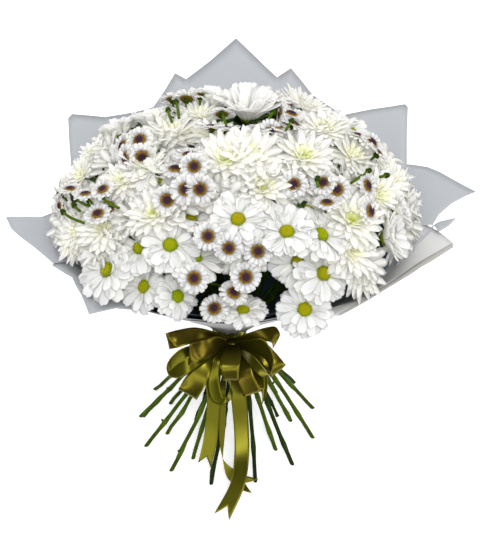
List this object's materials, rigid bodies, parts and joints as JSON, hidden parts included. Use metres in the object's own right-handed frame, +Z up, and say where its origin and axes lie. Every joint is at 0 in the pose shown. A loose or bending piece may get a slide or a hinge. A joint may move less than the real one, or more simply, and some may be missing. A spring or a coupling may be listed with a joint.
{
  "type": "bouquet",
  "caption": "Hand-tied bouquet of white spray chrysanthemums that stands on its cut stems, in a pale grey paper wrap with an olive satin bow.",
  "frame": {"origin": "on the floor that the cut stems stand on, under the middle of the whole bunch's box", "axes": "+Z up, -Y to the side that the bow is on, +X to the bow side's right"},
  "size_m": [0.518, 0.4209, 0.4371],
  "materials": {
    "petals_white": "matte",
    "petals_cream": "matte",
    "stem_green": "satin",
    "wrap_grey": "matte",
    "liner_slate": "matte",
    "ribbon_olive": "satin"
  },
  "bodies": {
    "root": {"button_spray_back_blooms": "petals_white", "button_spray_back_stems": "stem_green", "button_spray_far_right_blooms": "petals_white", "button_spray_far_right_stems": "stem_green", "button_spray_left_blooms": "petals_white", "button_spray_left_stems": "stem_green", "button_spray_low_blooms": "petals_white", "button_spray_low_stems": "stem_green", "button_spray_middle_blooms": "petals_white", "button_spray_middle_stems": "stem_green", "button_spray_right_blooms": "petals_white", "button_spray_right_stems": "stem_green", "button_spray_top_blooms": "petals_white", "button_spray_top_right_blooms": "petals_white", "button_spray_top_right_stems": "stem_green", "button_spray_top_stems": "stem_green", "button_spray_upper_left_blooms": "petals_white", "button_spray_upper_left_stems": "stem_green", "daisy_spray_back_blooms": "petals_white", "daisy_spray_back_left_blooms": "petals_white", "daisy_spray_back_left_stems": "stem_green", "daisy_spray_back_right_blooms": "petals_white", "daisy_spray_back_right_stems": "stem_green", "daisy_spray_back_stems": "stem_green", "daisy_spray_far_right_blooms": "petals_white", "daisy_spray_far_right_stems": "stem_green", "daisy_spray_front_blooms": "petals_white", "daisy_spray_front_stems": "stem_green", "daisy_spray_low_left_blooms": "petals_white", "daisy_spray_low_left_stems": "stem_green", "daisy_spray_middle_blooms": "petals_white", "daisy_spray_middle_stems": "stem_green", "daisy_spray_right_blooms": "petals_white", "daisy_spray_right_stems": "stem_green", "double_spray_back_blooms": "petals_cream", "double_spray_back_stems": "stem_green", "double_spray_left_blooms": "petals_cream", "double_spray_left_stems": "stem_green", "double_spray_low_right_blooms": "petals_cream", "double_spray_low_right_stems": "stem_green", "double_spray_right_blooms": "petals_cream", "double_spray_right_stems": "stem_green", "double_spray_top_blooms": "petals_cream", "double_spray_top_left_blooms": "petals_cream", "double_spray_top_left_stems": "stem_green", "double_spray_top_right_blooms": "petals_cream", "double_spray_top_right_stems": "stem_green", "double_spray_top_stems": "stem_green", "double_spray_upper_left_blooms": "petals_cream", "double_spray_upper_left_stems": "stem_green", "ribbon_band": "ribbon_olive", "ribbon_bow": "ribbon_olive", "ribbon_tail_long": "ribbon_olive", "ribbon_tail_short": "ribbon_olive", "wrap_liner": "liner_slate", "wrap_sheet_back": "wrap_grey", "wrap_sheet_left": "wrap_grey", "wrap_sheet_low_left": "wrap_grey", "wrap_sheet_low_right": "wrap_grey", "wrap_sheet_right": "wrap_grey"}
  },
  "joints": []
}
